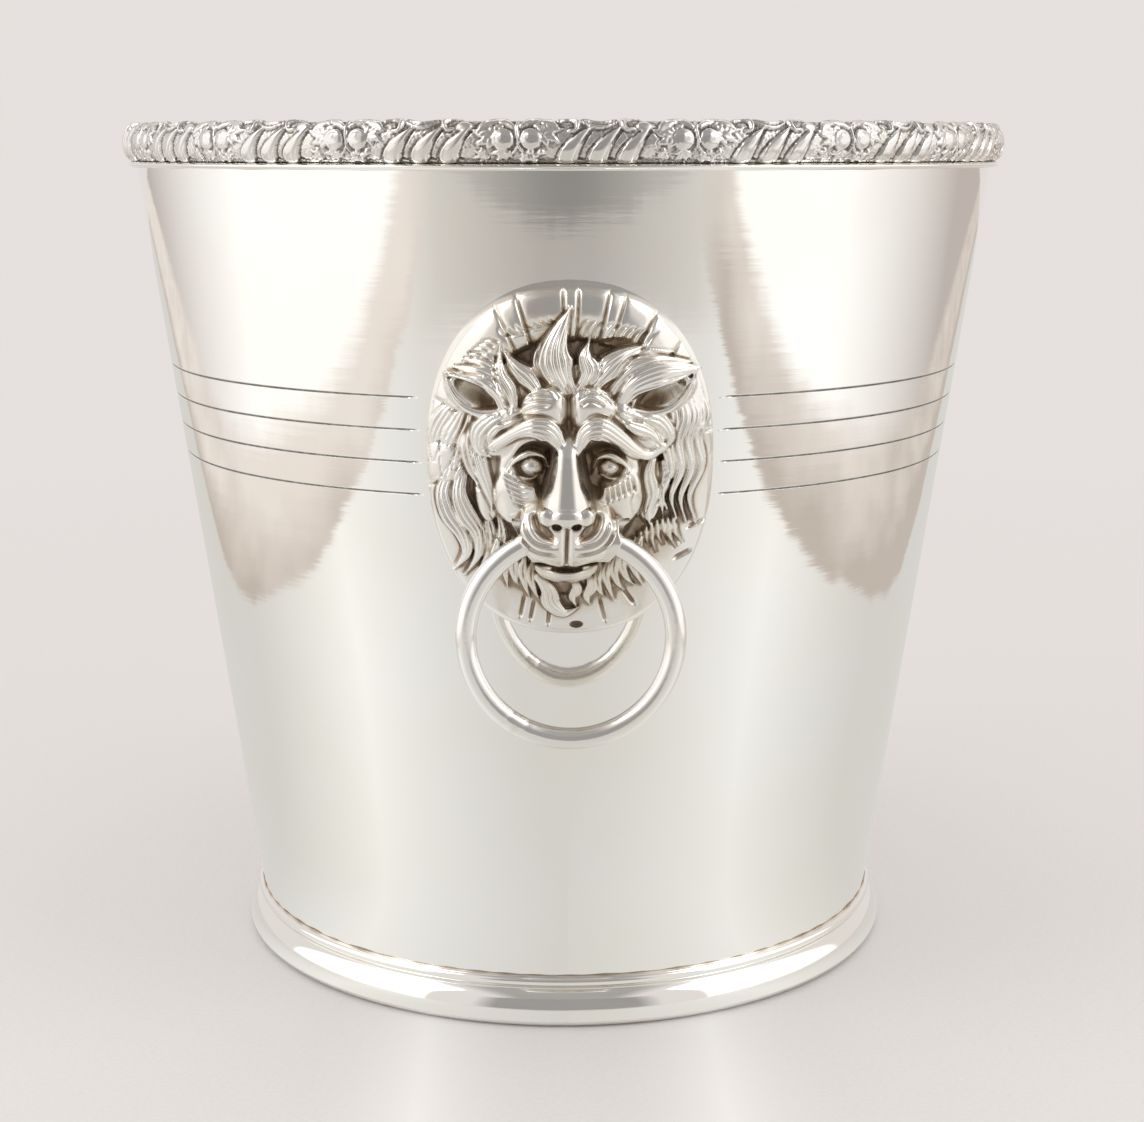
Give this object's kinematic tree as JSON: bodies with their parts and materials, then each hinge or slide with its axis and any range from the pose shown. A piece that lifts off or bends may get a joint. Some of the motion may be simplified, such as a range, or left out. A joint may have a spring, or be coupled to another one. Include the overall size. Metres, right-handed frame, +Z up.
{
  "type": "champagne bucket",
  "caption": "Tapered silver champagne bucket on a moulded foot, with an ornamental rim border and lion mask handles with drop rings.",
  "frame": {"origin": "centre of the foot's underside, on the bucket's axis", "axes": "+Z up along the bucket's axis; -Y towards the front lion mask, +Y towards the back one"},
  "size_m": [0.225, 0.2376, 0.2124],
  "materials": {
    "plain_silver": "polished, with fine wiping scratches",
    "inner_silver": "soft satin, slightly tarnished",
    "chased_silver": "polished high spots with brown and grey tarnish in the recesses",
    "ring_silver": "worn polished wire",
    "tube_silver": "dull, tarnished"
  },
  "bodies": {
    "bucket": {"body_wall": "plain_silver", "base_disc": "inner_silver", "foot_moulding": "plain_silver", "foot_strip": "inner_silver", "rim_border": "chased_silver", "rim_wire": "plain_silver", "rim_liner": "inner_silver", "lion_mask_front": "chased_silver", "ring_tube_front": "tube_silver", "lion_mask_back": "chased_silver", "ring_tube_back": "tube_silver"},
    "front_handle": {"ring_front": "ring_silver"},
    "back_handle": {"ring_back": "ring_silver"}
  },
  "joints": [
    {"name": "front_ring_swing", "type": "hinge", "parent": "bucket", "child": "front_handle", "pos_m": [0, -0.1096, 0.1235], "axis": [-1, 0, 0], "range_deg": [-17, 165]},
    {"name": "back_ring_swing", "type": "hinge", "parent": "bucket", "child": "back_handle", "pos_m": [0, 0.1096, 0.1235], "axis": [1, 0, 0], "range_deg": [-17, 165]}
  ]
}
